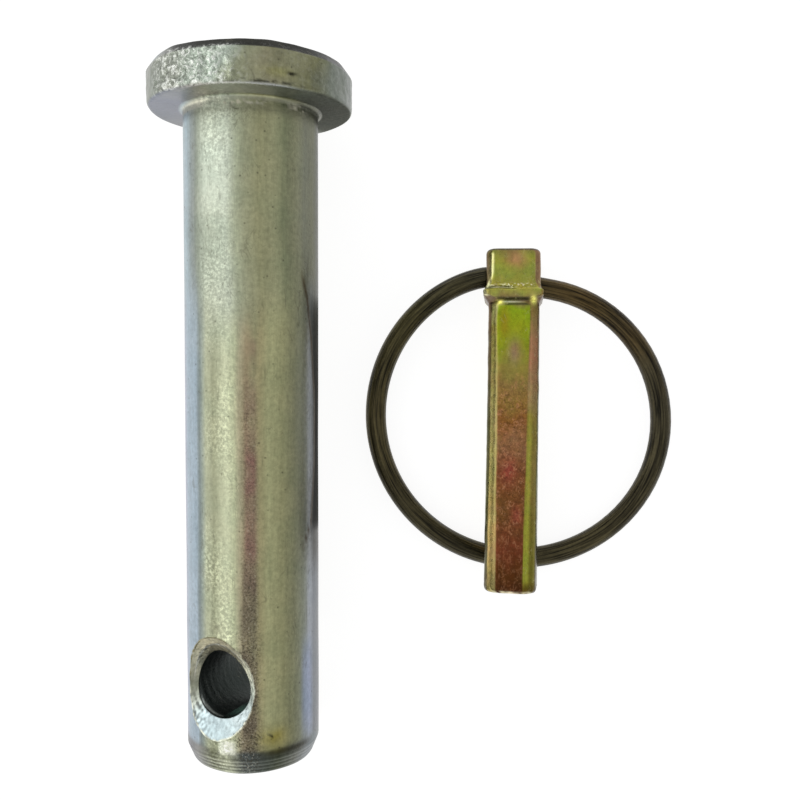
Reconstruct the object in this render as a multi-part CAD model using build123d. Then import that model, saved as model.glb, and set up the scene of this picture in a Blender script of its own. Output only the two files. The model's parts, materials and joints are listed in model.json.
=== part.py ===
from build123d import *
import math
import os

# Top link pin for a tractor's three-point linkage, lying on a flat surface beside the
# linch pin that locks it in use. Millimetres. X runs across, from the headed pin to the
# linch pin, Y from the shank's end towards the head, and Z up. The origin is on the
# surface, under the middle of the two together.
#
#   pin          headed pin: an upset head on a turned shank, cross-drilled near its end
#   linch_pin    linch pin: round bar pressed to four flats, with a forged head and an eye
#   linch_ring   spring wire bowed into a ring, its two ends sprung into the eye

# ---- linch pin body ----
bar_d = 11.8              # round bar that the linch pin is pressed from
bar_flats = 10.25          # across the four pressed flats
tip_from_eye = 62.3       # middle of the eye to the tip
tip_round = 1.1
head_from_eye = 6.1       # middle of the eye to the end of the head
head_width = 10.9
head_depth = 11.2
head_round = 1.1          # rounding of the head's end
corner_cut = 0.7          # how far the head's four long corners are knocked back
collar_width = 11.9       # bulge that the forging dies leave under the head
collar_depth = 12.3
collar_bulge = 0.1        # how far its middle stands out past its edges
collar_from_eye = 2.35    # middle of the eye to the start of the collar
collar_length = 1.75      # on the front and the back
side_collar_length = 1.0
side_collar_taper = 1.3   # length of the slope under it
flare_length = 2.3        # curve that widens the head into the collar
ledge_length = 0.6        # short ledge under the collar, on the front and the back
ledge_height = 0.3        # above each flat
ledge_slope = 0.4         # length of the slope on either side of the ledge

# ---- spring ring ----
wire_d = 4.2
ring_r = 30.0             # to the middle of the wire
ring_top_drop = 3.45      # how far the eye's line lies inside the ring's round
elbow_r = 6.3             # bend that turns the ring's first end into the eye
eye_slant = 8.7           # degrees that the eye runs off square, towards the tip
eye_lean = 9.0            # degrees that it runs off square, towards the back
stub_gap = 1.6            # between the wire's two ends inside the eye
stub_proud_first = 0.05   # straight wire outside the head, before the elbow
stub_proud_last = 1.7     # and on the other side, where the ring runs straight in
eye_clearance = 0.05      # radial
ring_clearance = 0.2      # between the ring and the flat that it closes on

# ---- headed pin ----
shank_d = 25.4            # category 2 upper link
grip_length = 120.5       # underside of the head to the start of the lead-in
lead_in_length = 3.0
lead_in_depth = 1.25      # radial
lead_in_round = 1.6
disc_d = 38.3             # the pin's head
disc_thickness = 7.8
disc_chamfer_length = 1.6
disc_chamfer_depth = 1.15
rim_round = 0.8
neck_r = 1.5
linch_clearance = 0.3     # radial, bar in linch hole
hole_from_head = 107.5    # underside of the head to the middle of the linch hole
countersink_width = 3.5   # radial, at the crown of the shank
countersink_slope = 45.0  # degrees between the countersink and the hole's axis
hole_turn = 25.5          # degrees that the hole leans from upright as the pin lies

# ---- how the two lie ----
eye_x = 52.05             # from the shank's axis to the middle of the eye
eye_y = -30.45            # from the underside of the head
linch_yaw = -1.1          # degrees
linch_roll = -7.0         # degrees, as it rests on one corner of its head and on the ring

shank_r = shank_d / 2
disc_r = disc_d / 2
wire_r = wire_d / 2
linch_hole_r = bar_d / 2 + linch_clearance


def floor_turn(low, high):
    """Turn about X, in degrees, that brings two round edges down to one level.

    Each edge is (y, z, radius), and the first has the lower y."""
    dy, dz, dr = (b - a for a, b in zip(low, high))
    return math.degrees(math.asin(dr / math.hypot(dy, dz)) - math.atan2(dz, dy))


def lowest(piece):
    """Height of a piece's lowest point."""
    return piece.bounding_box().min.Z


# ---------------------------------------------------------------- headed pin
# Own frame: underside of the head at y = 0, shank towards -Y.

def pin_blank():
    """Head and shank turned as one profile about the pin's axis."""
    end_y = -(grip_length + lead_in_length)
    end_r = shank_r - lead_in_depth
    rim = (disc_r, 0)
    neck = (shank_r, 0)
    shoulder = (shank_r, -grip_length)
    outline = Polyline(
        (0, disc_thickness),
        (disc_r - disc_chamfer_depth, disc_thickness),
        (disc_r, disc_thickness - disc_chamfer_length),
        rim, neck, shoulder,
        (end_r, end_y),
        (0, end_y),
        close=True,
    )
    profile = make_face(outline)
    for corner, radius in ((rim, rim_round), (neck, neck_r), (shoulder, lead_in_round),
                           ((end_r, end_y), lead_in_round / 2)):
        at = Vector(*corner)
        profile = fillet(profile.vertices().sort_by_distance(at)[0], radius)
    return revolve(profile, Axis.Y)


def linch_hole():
    """Cutter for the linch hole: the bore, and a countersink at each mouth."""
    over = 2.0
    spread = math.tan(math.radians(countersink_slope))
    sink_depth = countersink_width / spread
    bore = Cylinder(linch_hole_r, shank_d + 2 * over)
    sink = Cone(linch_hole_r, linch_hole_r + (sink_depth + over) * spread, sink_depth + over,
                align=(Align.CENTER, Align.CENTER, Align.MIN))
    sink = Pos(0, 0, shank_r - sink_depth) * sink
    return bore + sink + mirror(sink, Plane.XY)


def headed_pin():
    """The drilled pin, in its own frame."""
    across = Pos(0, -hole_from_head, 0) * Rot(0, -hole_turn, 0)
    return pin_blank() - across * linch_hole()


def pin_place():
    """Lying on the rim of its head and the end of its shank."""
    end_edge = (-grip_length, -shank_r, 0)
    rim_edge = (rim_round, rim_round - disc_r, rim_round)
    tilted = Rot(floor_turn(end_edge, rim_edge), 0, 0)
    return Pos(0, 0, -lowest(tilted * headed_pin())) * tilted


# ---------------------------------------------------------------- linch pin
# Own frame: middle of the eye at the origin, tip towards -Y, front face up.

def half_view(flat, collar, head, ledged=False):
    """Half of one view of the linch pin, on +X, from its tip to the end of its head.

    The three sizes are taken across the flats, the collar and the head."""
    flat, collar, head = flat / 2, collar / 2, head / 2
    collar_top = -collar_from_eye
    flare_top = collar_top + flare_length
    if ledged:
        collar_foot = collar_top - collar_length
        ledge_top = collar_foot - ledge_slope
        ledge_foot = ledge_top - ledge_length
        under_collar = [(flat, ledge_foot - ledge_slope),
                        (flat + ledge_height, ledge_foot),
                        (flat + ledge_height, ledge_top)]
    else:
        collar_foot = collar_top - side_collar_length
        under_collar = [(flat, collar_foot - side_collar_taper)]
    tip_end = Line((0, -tip_from_eye), (flat - tip_round, -tip_from_eye))
    tip_corner = CenterArc((flat - tip_round, tip_round - tip_from_eye), tip_round, -90, 90)
    shank = Polyline((flat, tip_round - tip_from_eye), *under_collar, (collar, collar_foot))
    bulge = ThreePointArc((collar, collar_foot),
                          (collar + collar_bulge, (collar_foot + collar_top) / 2),
                          (collar, collar_top))
    flare = TangentArc((head, flare_top), (collar, collar_top), tangent=(0, -1))
    block = Line((head, flare_top), (head, head_from_eye - head_round))
    head_corner = CenterArc((head - head_round, head_from_eye - head_round), head_round, 0, 90)
    head_end = Line((head - head_round, head_from_eye), (0, head_from_eye))
    return tip_end + tip_corner + shank + bulge + flare + block + head_corner + head_end


def pressed_block(half):
    """Both halves of one view, pushed through the bar."""
    return extrude(make_face(half + mirror(half, Plane.YZ)), amount=collar_depth, both=True)


# Turns the X axis into the middle line of the eye.
eye_line = Rot(0, eye_lean, 0) * Rot(0, 0, -eye_slant)


def linch_pin_body():
    """Round bar pressed from the front and from the side, with the eye bored on a slant."""
    collar_across = math.hypot(collar_width, collar_depth) - 2 * corner_cut
    head_across = math.hypot(head_width, head_depth) - 2 * corner_cut
    spine = Line((0, head_from_eye), (0, -tip_from_eye))
    bar = revolve(make_face(half_view(bar_d, collar_across, head_across) + spine), Axis.Y)
    front = pressed_block(half_view(bar_flats, collar_width, head_width))
    side = pressed_block(half_view(bar_flats, collar_depth, head_depth, ledged=True))
    eye = Cylinder(wire_r + eye_clearance, 3 * collar_width)
    return (bar & front & Rot(0, 90, 0) * side) - eye_line * Rot(0, 90, 0) * eye


# ---------------------------------------------------------------- spring ring
# Own frame: the eye's line along X through the origin, the ring's far side at -Y.

def stub_start(proud):
    """Distance along the eye's line to the point where the wire leaves it."""
    off_square = math.acos(Plane(eye_line).x_dir.X)
    return head_width / 2 / math.cos(off_square) + wire_r * math.tan(off_square) + proud


first_x = stub_start(stub_proud_first)
last_x = stub_start(stub_proud_last)
# The main round touches the elbow's round from outside.
ring_centre_x = math.sqrt(ring_top_drop * (2 * (ring_r - elbow_r) - ring_top_drop)) - first_x
ring_centre_y = ring_top_drop - ring_r
# The last round touches the eye's line at last_x, and the main round from inside.
last_r = ring_r - ring_top_drop / 2 - (ring_centre_x - last_x) ** 2 / (2 * ring_top_drop)


def ring_path():
    """Stub, elbow, main round, last round and stub, each tangent to the next."""
    def bearing(centre):
        return math.degrees(math.atan2(centre[1] - ring_centre_y, centre[0] - ring_centre_x))

    elbow_centre = (-first_x, -elbow_r)
    last_centre = (last_x, -last_r)
    elbow_end = bearing(elbow_centre)
    last_start = bearing(last_centre)
    return Wire([
        Line((-stub_gap / 2, 0), (-first_x, 0)),
        CenterArc(elbow_centre, elbow_r, 90, elbow_end - 90),
        CenterArc((ring_centre_x, ring_centre_y), ring_r, elbow_end,
                  last_start + 360 - elbow_end),
        CenterArc(last_centre, last_r, last_start, 90 - last_start),
        Line((last_x, 0), (stub_gap / 2, 0)),
    ])


def ring():
    """Round wire swept along the ring's path."""
    path = ring_path()
    start = Plane(origin=path @ 0, z_dir=path % 0)
    return sweep(start * Circle(wire_r), path=path)


def ring_fall():
    """Degrees that the ring turns about the eye to close on the body's back flat.

    The ring lies askew to the flat, so it meets one long edge of it."""
    slant = math.radians(eye_slant)
    lean = math.radians(eye_lean)
    body_x = (ring_r - ring_centre_y) * math.tan(slant) + bar_flats / 2
    reach = last_r + math.sqrt(last_r ** 2 - (body_x - last_x) ** 2)
    flat_edge = math.sqrt(bar_d ** 2 - bar_flats ** 2) / 2
    edge_drop = bar_flats / 2 * math.cos(lean) + flat_edge * math.sin(lean)
    return math.degrees(math.asin((edge_drop + ring_clearance + wire_r) / reach))


ring_on_body = eye_line * Rot(ring_fall(), 0, 0)


def linch_place():
    """Lying on a corner of its head, with its tip propped on the ring."""
    body, closed_ring = linch_pin_body(), ring_on_body * ring()
    flat, steep = -30.0, 0.0
    for _ in range(20):
        turn = (flat + steep) / 2
        tilted = Rot(turn, 0, 0) * Rot(0, linch_roll, 0)
        if lowest(tilted * closed_ring) > lowest(tilted * body):
            flat = turn
        else:
            steep = turn
    return Pos(eye_x, eye_y, -lowest(tilted * body)) * Rot(0, 0, linch_yaw) * tilted


# ---------------------------------------------------------------- all together

def assembly():
    """Every piece where it lies, with the origin under the middle of the whole."""
    lying = linch_place()
    pieces = {
        "pin": pin_place() * headed_pin(),
        "linch_pin": lying * linch_pin_body(),
        "linch_ring": lying * ring_on_body * ring(),
    }
    box = Compound(list(pieces.values())).bounding_box()
    centre = box.center()
    to_origin = Pos(-centre.X, -centre.Y, -box.min.Z)
    return {name: to_origin * piece for name, piece in pieces.items()}, to_origin


def write_parts():
    """One STEP file for each piece."""
    os.makedirs("parts", exist_ok=True)
    pieces, _ = assembly()
    for name, piece in pieces.items():
        export_step(piece, f"parts/{name}.step")


write_parts()
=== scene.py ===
import json
import math
import bpy
import numpy as np
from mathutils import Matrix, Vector


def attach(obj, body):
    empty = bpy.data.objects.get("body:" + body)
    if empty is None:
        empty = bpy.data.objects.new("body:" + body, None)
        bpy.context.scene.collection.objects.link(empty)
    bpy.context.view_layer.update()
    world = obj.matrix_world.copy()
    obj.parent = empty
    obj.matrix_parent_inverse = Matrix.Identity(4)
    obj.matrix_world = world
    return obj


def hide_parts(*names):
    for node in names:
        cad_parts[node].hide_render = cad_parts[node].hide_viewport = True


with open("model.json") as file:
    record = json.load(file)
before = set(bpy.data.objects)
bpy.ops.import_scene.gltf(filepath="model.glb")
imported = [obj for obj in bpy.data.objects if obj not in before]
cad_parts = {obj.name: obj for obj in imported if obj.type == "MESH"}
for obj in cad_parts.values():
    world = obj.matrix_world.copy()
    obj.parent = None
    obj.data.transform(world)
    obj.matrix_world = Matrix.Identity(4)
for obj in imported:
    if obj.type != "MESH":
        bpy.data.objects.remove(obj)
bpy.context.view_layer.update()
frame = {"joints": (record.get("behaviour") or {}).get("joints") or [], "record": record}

# ---------------------------------------------------------------- headed pin
# An upset head on a drawn steel shank. The shank's end is turned to a lead-in and
# cross-drilled for the linch pin, and the whole is barrel-plated in zinc.
shank_r = 12.7                # millimetres here and below, until a mesh is made
grip_length = 120.5           # underside of the head to the lead-in
lead_in_length, lead_in_depth, lead_in_round = 3.0, 1.25, 1.6
disc_r, disc_thickness = 19.15, 7.8
disc_chamfer_length, disc_chamfer_depth = 1.6, 1.15
rim_round, neck_r = 0.8, 0.8
hole_from_head, linch_hole_r, countersink_width = 107.5, 6.2, 3.5
ridge_pitch, ridge_height = 0.78, 0.08
bore_mark_pitch, burr_heights = 1.7, (0.13, 0.09, 0.03)

mounts = {mount["name"]: mount for mount in frame["record"]["mounts"]}


def unit(vector):
    """The vector at length one, or each row of several."""
    vector = np.asarray(vector, float)
    return vector / np.linalg.norm(vector, axis=-1, keepdims=True)


def lengths_along(line):
    """How far along a line of points each of them is."""
    return np.r_[0, np.cumsum(np.linalg.norm(np.diff(line, axis=0), axis=1))]


def ripple(points, size, seed, waves=28):
    """Smooth noise of about unit height: a sum of sine waves near one length, each with its own
    heading and phase."""
    draw = np.random.default_rng(seed)
    heading = draw.normal(size=(3, waves))
    heading /= np.linalg.norm(heading, axis=0)
    turns = 2 * math.pi / size * draw.uniform(0.65, 1.5, waves)
    phase = draw.uniform(0, 2 * math.pi, waves)
    return np.sin(points @ (heading * turns) + phase).sum(-1) / math.sqrt(waves / 2)


def ease(value, low, high):
    """0 below low, 1 above high, and a smooth cubic step between them."""
    t = np.clip((value - low) / (high - low), 0, 1)
    return t * t * (3 - 2 * t)


def span(value, rise, full, fall, gone):
    """0 below rise, 1 from full to fall, and 0 again above gone, eased between them."""
    return ease(value, rise, full) * (1 - ease(value, fall, gone))


def hill(value, centre, width, power=2):
    """1 at the centre, and e to minus the (distance over width) to that even power beside it."""
    return np.exp(-((value - centre) / width) ** power)


def held(value):
    """The value held between 0 and 1."""
    return np.clip(value, 0, 1)


def wrapped(degrees):
    """An angle brought between -180 and 180 degrees."""
    return (degrees + 180) % 360 - 180


def rounded_line(corners, spacing):
    """Points along straight runs between corners (y, r, radius), each corner replaced by an
    arc of its radius. Runs are divided at about the spacing."""
    corners = np.array(corners, float)
    line = [corners[0, :2]]
    for (before, corner, after) in zip(corners[:-2], corners[1:-1], corners[2:]):
        back, on = unit(before[:2] - corner[:2]), unit(after[:2] - corner[:2])
        half = math.acos(np.clip(back @ on, -1, 1)) / 2
        reach = corner[2] / math.tan(half)
        centre = corner[:2] + unit(back + on) * corner[2] / math.sin(half)
        start, end = corner[:2] + back * reach, corner[:2] + on * reach
        turn = np.linspace(0, 1, 9)[:, None]
        arc = centre + (start - centre) * (1 - turn) + (end - centre) * turn
        line.extend(centre + unit(arc - centre) * corner[2])
    line.append(corners[-1, :2])
    line = np.array(line)
    dense = [line[:1]]
    for a, b in zip(line[:-1], line[1:]):
        count = max(1, round(np.linalg.norm(b - a) / spacing))
        dense.append(a + (b - a) * np.arange(1, count + 1)[:, None] / count)
    return np.concatenate(dense)


def block_edge(block, step, stations, mirrored):
    """Rows, columns, stations and bearings round the edge of a block of the grid, in order.
    A mirrored block is walked the other way round."""
    top, bottom, left, right = block
    rows = np.concatenate([np.full(right - left, top), np.arange(top, bottom),
                           np.full(right - left, bottom), np.arange(bottom, top, -1)])
    columns = np.concatenate([np.arange(left, right), np.full(bottom - top, right),
                              np.arange(right, left, -1), np.full(bottom - top, left)])
    if mirrored:
        columns = left + right - columns
    return rows, columns, stations[rows], step * columns


def bands(rings, flipped=False):
    """Four-cornered faces between each ring of point numbers and the next."""
    faces = []
    for outer, inner in zip(rings[:-1], rings[1:]):
        quad = np.stack([outer, inner, np.roll(inner, -1), np.roll(outer, -1)], 1)
        faces.append(quad[:, ::-1] if flipped else quad)
    return np.concatenate(faces)


def pierced_skin(place, stations, columns, holes):
    """A closed skin: place(station, bearing) on a grid that wraps round, a fan over each end.

    Each hole takes out a block of the grid. Rings between the block's edge and the hole's
    mouth are weighted means of the two, placed on the same surface."""
    rows, step = len(stations), 2 * math.pi / columns
    number = np.arange(rows * columns).reshape(rows, columns)
    bearings = step * np.arange(columns)
    points = [place(*np.meshgrid(stations, bearings, indexing="ij")).reshape(-1, 3)]
    kept = np.ones((rows - 1, columns), bool)
    total, quads, mouths = rows * columns, [], []
    for block, mouth, mirrored, weights in holes:
        kept[block[0]:block[1], np.arange(block[2], block[3]) % columns] = False
        row, column, station, bearing = block_edge(block, step, stations, mirrored)
        mouth_station, mouth_bearing = mouth(station, bearing)
        rings = [number[row, column % columns]]
        for weight in weights:
            points.append(place(mouth_station + (station - mouth_station) * weight,
                                mouth_bearing + (bearing - mouth_bearing) * weight))
            rings.append(total + np.arange(len(row)))
            total += len(row)
        quads.append(bands(rings, mirrored))
        mouths.append(rings[-1])
    here = number[:-1], number[1:], np.roll(number[1:], -1, 1), np.roll(number[:-1], -1, 1)
    quads.append(np.stack([part[kept] for part in here], 1))
    points.append(points[0][:columns].mean(0)[None])
    points.append(points[0][-columns:].mean(0)[None])
    first, last = number[0], number[-1]
    fans = [np.stack([np.full(columns, total), first, np.roll(first, -1)], 1),
            np.stack([last, np.full(columns, total + 1), np.roll(last, -1)], 1)]
    return np.concatenate(points), np.concatenate(quads), np.concatenate(fans), mouths


def tunnel(first, last, rings, start):
    """Faces of a hole from one mouth's point numbers to the other's, through rings of new
    points, numbered from start."""
    numbers = [start + np.arange(len(first)) + len(first) * k for k in range(len(rings))]
    return bands([first, *numbers, last])


def linear(code):
    """A colour written as six hex digits, as the renderer's linear values."""
    value = np.array([int(code[i:i + 2], 16) for i in (0, 2, 4)]) / 255
    return np.where(value < 0.04045, value / 12.92, ((value + 0.055) / 1.055) ** 2.4)


def ramp(at, stops, period=None):
    """Colours at these values, between stops of (value, colour)."""
    where = [stop[0] for stop in stops]
    colours = np.array([linear(stop[1]) for stop in stops])
    return np.stack([np.interp(at, where, colours[:, i], period=period) for i in range(3)], -1)


def mix(first, second, share):
    """The first colour with this share of the second, which may be six hex digits."""
    second = linear(second) if isinstance(second, str) else second
    return first + (second - first) * np.asarray(share)[..., None]


def paint(tint, *marks):
    """The tint with marks of (colour, share) laid over it in turn."""
    for colour, share in marks:
        tint = mix(tint, colour, share)
    return tint


def make_piece(name, points, faces, axes, origin, body, node, material, tint, **fields):
    """Puts points from a piece's own frame, in millimetres, where the piece lies, in metres.
    Tint and the named fields are kept at its points for the material."""
    used = np.unique(np.concatenate([part.ravel() for part in faces]))
    renumber = np.zeros(len(points), int)
    renumber[used] = np.arange(len(used))
    placed, tint = (points[used] @ axes + origin) / 1000, tint[used]
    mesh = bpy.data.meshes.new(name)
    mesh.from_pydata(placed.tolist(), [], [f for part in faces for f in renumber[part].tolist()])
    mesh.shade_smooth()
    colour = mesh.attributes.new("tint", "FLOAT_COLOR", "POINT")
    colour.data.foreach_set("color", np.c_[tint, np.ones(len(tint))].ravel())
    for label, values in fields.items():
        kept = mesh.attributes.new(label, "FLOAT", "POINT")
        kept.data.foreach_set("value", np.asarray(values, float)[used])
    mesh.materials.append(material)
    piece = bpy.data.objects.new(name, mesh)
    bpy.context.scene.collection.objects.link(piece)
    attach(piece, body)
    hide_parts(node)
    return piece


# The pin's own frame: y towards its head from the head's underside, z out of the hole.
pin_y = -unit(mounts["shank"]["axis"])
pin_z = unit(mounts["linch_hole"]["axis"])
pin_axes = np.array([np.cross(pin_y, pin_z), pin_y, pin_z])
pin_origin = 1000 * np.array(mounts["linch_hole"]["pos_m"]) + hole_from_head * pin_y
hole_turn = math.atan2(-pin_z[0], math.hypot(pin_z[1], pin_z[2]))

end_r, chamfer_y = shank_r - lead_in_depth, disc_thickness - disc_chamfer_length
end_y = -(grip_length + lead_in_length)
outline = rounded_line([
    (disc_thickness, 0.4, 0),
    (disc_thickness, disc_r - disc_chamfer_depth, 0.25),
    (chamfer_y, disc_r, 0.35),
    (0, disc_r, rim_round),
    (0, shank_r, neck_r),
    (-grip_length, shank_r, lead_in_round),
    (end_y, end_r, lead_in_round / 2),
    (end_y, 0.4, 0),
], 0.1)
run = lengths_along(outline)
slope = np.gradient(outline, run, axis=0)
outline_normal = unit(np.stack([slope[:, 1], -slope[:, 0]], 1))


def run_at(y):
    """How far along the outline the shank is at this y."""
    straight = (outline[:, 1] > shank_r - 1e-6) & (outline[:, 1] < shank_r + 1e-6)
    return np.interp(-y, -outline[straight, 0], run[straight])


def ridge(y, bearing):
    """The turned ridges' height: a rectified sine along y, on a slight helix, from 0 to 1."""
    return np.abs(np.sin(math.pi * (y + 0.12 * np.sin(bearing + 1)) / ridge_pitch))


def pin_surface(station, bearing):
    """The outline turned about y, moved along its normal by forging hollows on the head, a slow
    waver on the shank and turned ridges on the lead-in."""
    y, r = (np.interp(station, run, outline[:, i]) for i in (0, 1))
    out_y, out_r = (np.interp(station, run, outline_normal[:, i]) for i in (0, 1))
    sine, cosine = np.sin(bearing), np.cos(bearing)
    base = np.stack([r * sine, y, r * cosine], -1)
    head = ease(y, 0.25, 1.3) * (r > shank_r + 1)
    wall = head * ease(-y, -6.6, -5.7)
    beaten = 0.2 + 0.8 * hill(wrapped(np.degrees(bearing - hole_turn) + 26), 0, 30, 4)
    lift = wall * beaten * (0.11 * ripple(base, 2.4, 1) + 0.07 * ripple(base, 1.3, 2))
    shoulder = ease(y, chamfer_y - 0.9, chamfer_y)
    lift += shoulder * (r > disc_r - 2) * 0.03 * ripple(base, 6, 7)
    lift += head * 0.05 * ripple(base, 15, 4)
    facets = wall * ease(np.cos(bearing - hole_turn), 0.5, -0.1)
    lift += 0.035 * facets * ripple(base * [1, 0.2, 1], 3.2, 8)
    lift += 0.02 * ripple(base * [1, 0.35, 1], 9, 5)
    lead_in = ease(-y, grip_length - 1.2, grip_length + 0.3) * ease(y, end_y + 0.25, end_y + 0.6)
    lift += lead_in * ridge_height * (ridge(y, bearing) - 0.6)
    face = ease(y, disc_thickness - 0.05, disc_thickness) * ease(-r, -disc_r + 2, -disc_r + 3)
    lift += face * 0.05 * ripple(base, 6, 6)
    return base + lift[..., None] * np.stack([out_r * sine, out_y, out_r * cosine], -1)


def mouth_size(heading):
    """Radius at which the countersink's cone meets the round shank, at a heading from y."""
    rise = shank_r - countersink_width - linch_hole_r
    spread = 1 + np.sin(heading) ** 2
    return (-rise + np.sqrt(rise ** 2 - spread * (rise ** 2 - shank_r ** 2))) / spread


def hole_heading(station, bearing, side):
    """Heading from y, about the hole, of a place on the shank by that mouth."""
    return np.arctan2(math.cos(side) * shank_r * (bearing - side), hole_run - station)


def hole_mouth(side):
    """The mouth at that bearing, as a function for pierced_skin."""
    def mouth(station, bearing):
        heading = hole_heading(station, bearing, side)
        size = mouth_size(heading) + 0.05 * np.sin(5 * heading + 1) + 0.04 * np.sin(13 * heading)
        lateral = np.arcsin(size * np.sin(heading) / shank_r)
        return hole_run - size * np.cos(heading), side + math.cos(side) * lateral
    return mouth


hole_run = run_at(-hole_from_head)
neck, block_top, block_end = run_at(-1.6), hole_run - 11.0, hole_run + 11.0
rim_rows = run[(outline[:, 0] > 0) & (outline[:, 1] > disc_r - disc_chamfer_depth - 0.2)][::2]
end_corner = run_at(-grip_length + 1) + 5.2
stations = np.concatenate([
    np.linspace(run[0], rim_rows[0] - 0.3, 12), rim_rows, np.arange(rim_rows[-1] + 0.2, neck, 0.28),
    np.arange(neck + 0.2, neck + 6, 0.6), np.arange(neck + 6, block_top - 0.7, 1.4),
    np.linspace(block_top, block_end, 41), np.arange(block_end + 0.4, end_corner, 0.13),
    np.linspace(end_corner, run[-1], 14),
])
hole_rows = np.searchsorted(stations, [block_top - 1e-6, block_end - 1e-6])
pin_columns, hole_half = 272, 38
hole_weights = np.array([0.72, 0.5, 0.33, 0.2, 0.11, 0.05, 0.02, 0.0])
holes = [((*hole_rows, middle - hole_half, middle + hole_half), hole_mouth(side), mirrored,
          hole_weights)
         for side, middle, mirrored in ((0.0, 0, False), (math.pi, pin_columns // 2, True))]
points, quads, fans, mouths = pierced_skin(pin_surface, stations, pin_columns, holes)

# Walls of the hole: countersink, bore and the far countersink, ring by ring.
edge_station, edge_bearing = block_edge(holes[0][0], 2 * math.pi / pin_columns, stations, False)[2:]
heading = hole_heading(edge_station, edge_bearing, 0.0)
mouth_r = mouth_size(heading)
sink_top = np.sqrt(shank_r ** 2 - (mouth_r * np.sin(heading)) ** 2)
sink_foot = shank_r - countersink_width
by_hand = 0.62 + 0.7 * np.cos(heading - math.radians(153))
by_hand = by_hand + 0.62 * np.cos(2 * heading - math.radians(58))
shares = [0.04, 0.1, 0.2, 0.3, 0.38, 0.44, 0.5, 0.56, 0.62, 0.7, 0.8, 0.9, 0.97, 1.0]
shares = np.array(shares)[:, None]
tool_step = 0.05 * hill(shares, 0.46, 0.08) * ease(np.cos(heading), 0.0, 0.5)
sink_r = mouth_r + (linch_hole_r - mouth_r) * shares
near_sink = sink_top + (sink_foot + by_hand - sink_top) * shares + tool_step
far_sink = sink_top + (sink_foot - sink_top) * shares
depth = np.linspace(0.01, 0.99, 44)[:, None]
bore_z = (sink_foot + by_hand) * (1 - depth) - sink_foot * depth
wall_r = np.concatenate([sink_r, np.full_like(bore_z, linch_hole_r), sink_r[::-1]])
wall_z = np.concatenate([near_sink, bore_z, -far_sink[::-1]])
wall = np.stack([wall_r * np.sin(heading), -hole_from_head + wall_r * np.cos(heading), wall_z], -1)
in_sink = np.repeat([True, False, True], [len(shares), len(depth), len(shares)])
in_sink = in_sink[:, None] & np.ones(len(heading), bool)
rougher = 1 - 0.75 * ease(np.cos(heading + 0.5), -0.3, 0.4)
torn = 0.07 * ripple(wall, 1.9, 11) + 0.05 * ripple(wall, 0.9, 14)
drilled = 0.014 * np.cos(2 * math.pi * wall_z / bore_mark_pitch) * (1 + ripple(wall, 9, 12))
chatter = np.where(in_sink, torn * rougher * ease(wall_r, 6.3, 6.9), drilled)
inner_burr = hill(wrapped(np.degrees(heading + 2.5)), 0, math.degrees(0.6))
chatter -= 0.22 * inner_burr * hill(wall_r, linch_hole_r, 0.12) * hill(wall_z, bore_z[0], 0.35)
wall += chatter[..., None] * np.stack([np.sin(heading), np.cos(heading), 0 * heading], -1)
hole_quads = tunnel(mouths[0], mouths[1], wall, len(points))
for mouth in mouths:
    for back, height in enumerate(burr_heights):
        lip = mouth - back * len(mouth)
        raised = height * np.clip(0.8 + 0.5 * ripple(points[lip], 3, 13), 0, 2)
        points[lip] += unit(points[lip] * [1, 0, 1]) * raised[:, None]
skin_count = len(points)
points = np.concatenate([points, wall.reshape(-1, 3)])

# Colour of the passivated zinc: bands round the shank, a scorched patch and a rim painted dark as a
# dark reflection.
from_up = np.degrees(np.arctan2(points[:, 0], points[:, 2]) - hole_turn)
along = points[:, 1]
radius = np.hypot(points[:, 0], points[:, 2])
waver = 1.5 * ripple(points * [0.2, 1, 0.2], 30, 21)
# The bands' light stops on the left, near -30 to 0 degrees, carry a painted highlight, and their
# dark stops past 70 degrees on the right carry painted shade.
upper = ramp(from_up + waver, [
    (-180, "979984"), (-130, "93927f"), (-95, "a3abad"), (-62, "a6b7be"), (-50, "8e9591"),
    (-47, "929892"), (-45, "8b9187"), (-41, "93998a"), (-27, "abb19f"), (-12, "bac1ae"),
    (-4, "b9bfa2"), (3, "b4b695"), (14, "b3b28a"), (25, "b0b08a"), (35, "8a8e6f"), (45, "898a6f"),
    (58, "727465"), (72, "676853"), (83, "414234"), (130, "929279")], period=360)
lower = ramp(from_up + 0.5 * waver, [
    (-180, "979984"), (-130, "93927f"), (-95, "a3abad"), (-70, "aaaabd"), (-62, "a8b7c3"),
    (-44, "9eacb6"), (-42, "879193"), (-40, "78817f"), (-37, "8b938a"), (-32, "a1a48b"),
    (-24, "919379"), (-12, "c8ccac"), (-6, "cbcfaa"), (-1, "c1b898"), (4, "bbad89"),
    (10, "afac85"), (15, "bdb489"), (22, "c4c495"), (34, "a9a87f"), (46, "86876c"), (57, "7e8275"),
    (66, "929597"), (74, "4a4a45"), (83, "302f29"), (130, "929279")], period=360)
tint = mix(upper, lower, ease(-along + 4 * ripple(points, 20, 24), 30, 50))
browner = ease(-along, 76, 94)
flushed = ease(from_up + 3 * browner, 0.5, 5) * (1 - ease(from_up, 10, 15))
flushed = flushed * ease(-along + 3 * ripple(points, 9, 32), 40, 64)
pink = mix(linear("a58574"), "857a66", browner)
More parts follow.
